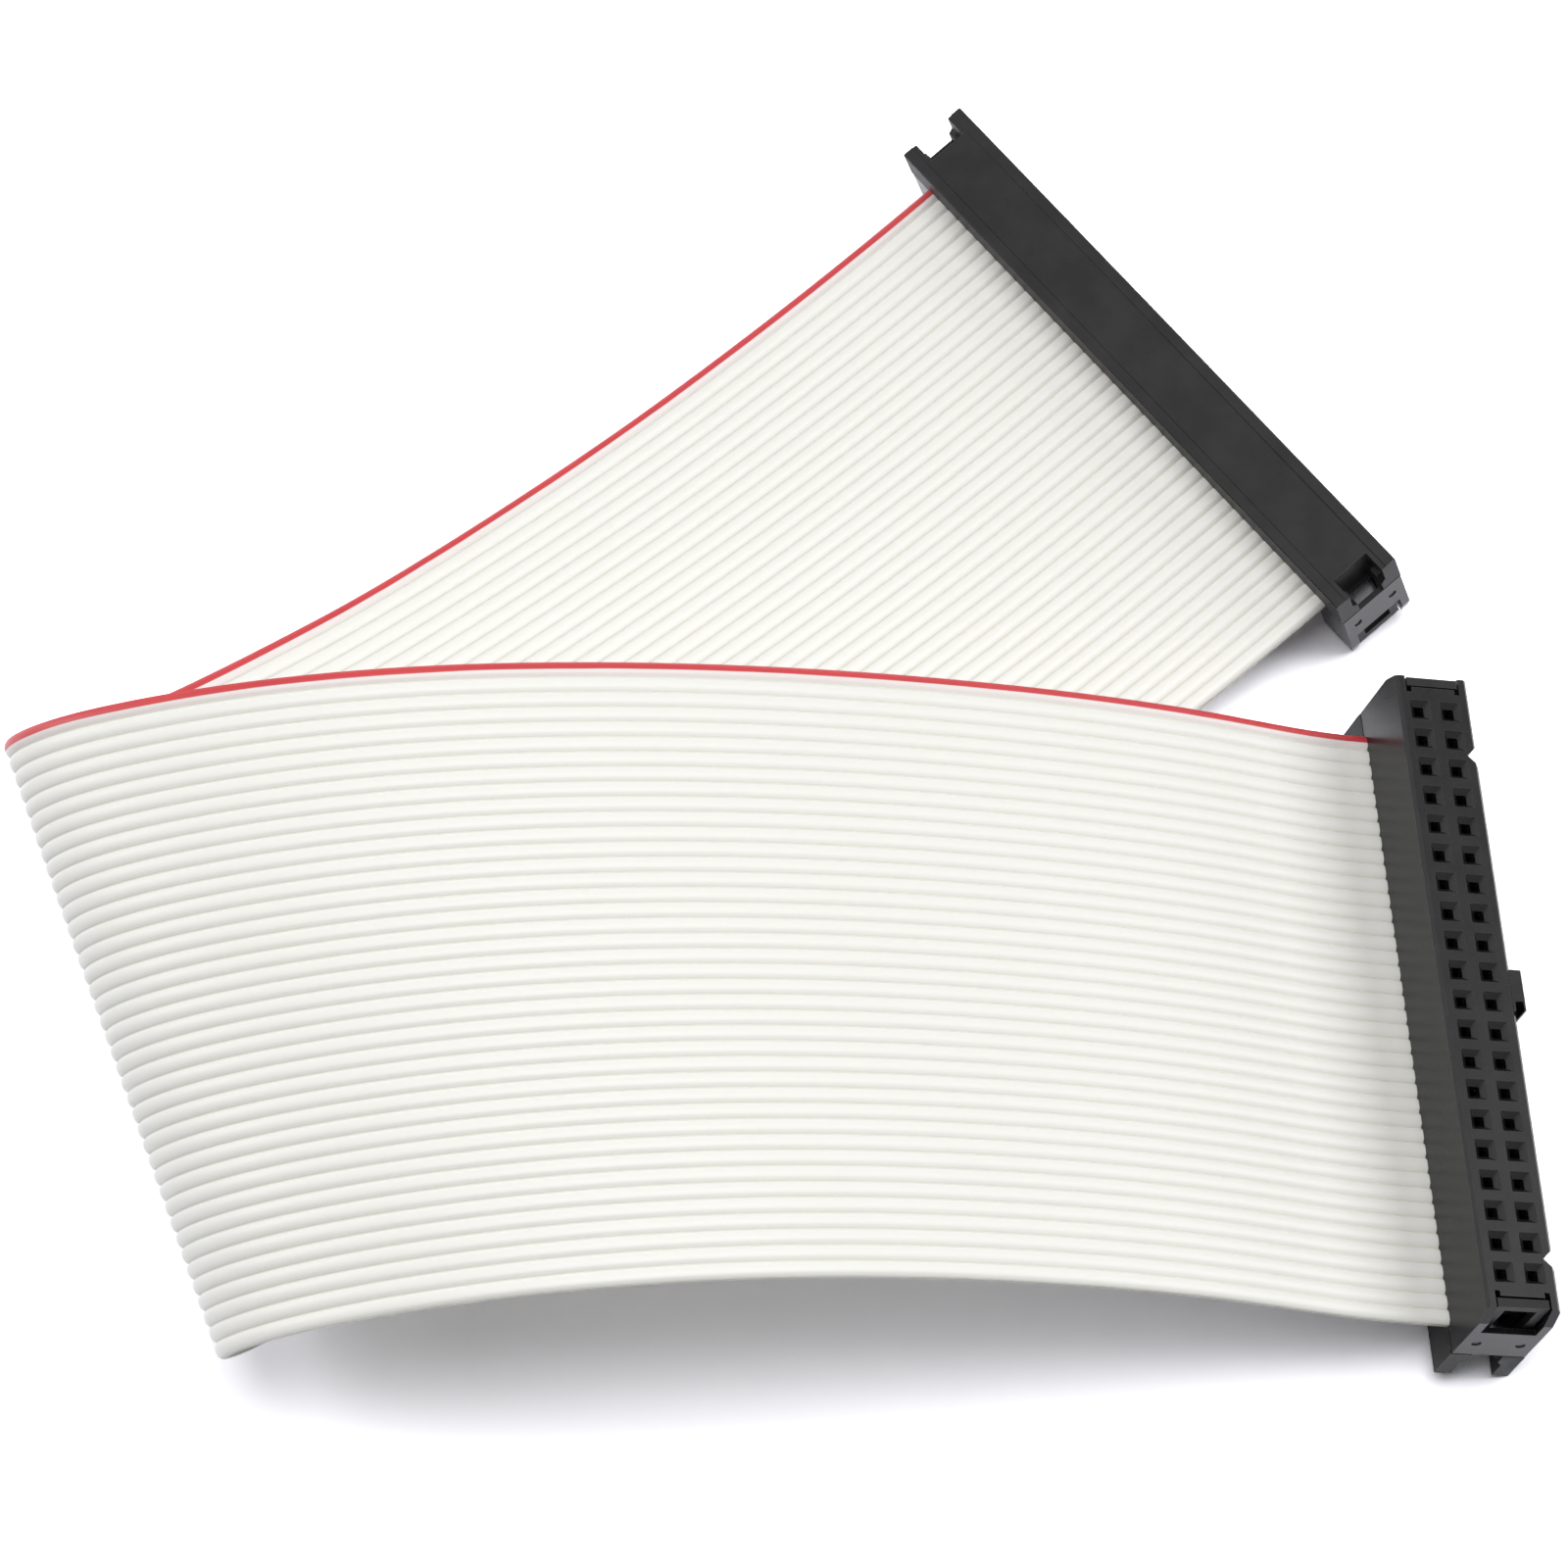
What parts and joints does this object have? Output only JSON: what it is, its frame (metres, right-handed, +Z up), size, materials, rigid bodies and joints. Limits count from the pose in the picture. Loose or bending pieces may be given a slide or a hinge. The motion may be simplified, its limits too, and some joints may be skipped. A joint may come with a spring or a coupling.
{
  "type": "flat ribbon cable with two crimped sockets",
  "caption": "Flat ribbed ribbon cable with one red edge, bent back on itself in a loop, with a black double-row pin socket crimped on each end.",
  "frame": {"origin": "under the middle of the cable's box, on the surface it lies on", "axes": "+Z up; +X to the right, from the bend towards the sockets; +Y away, from the near socket to the far one"},
  "size_m": [0.1182, 0.1162, 0.03],
  "materials": {
    "cable_insulation": "soft off-white PVC, ribbed, with one red edge",
    "copper_core": "tinned stranded copper, drawn as one core",
    "socket_plastic": "moulded black polyester, satin",
    "cover_plastic": "moulded black polyester, finely matt",
    "contact_metal": "plated phosphor bronze"
  },
  "bodies": {
    "root": {"ribbon_jacket": "cable_insulation", "conductors": "copper_core", "near_socket_body": "socket_plastic", "near_socket_cover": "cover_plastic", "near_contacts": "contact_metal", "far_socket_body": "socket_plastic", "far_socket_cover": "cover_plastic", "far_contacts": "contact_metal"}
  },
  "joints": []
}
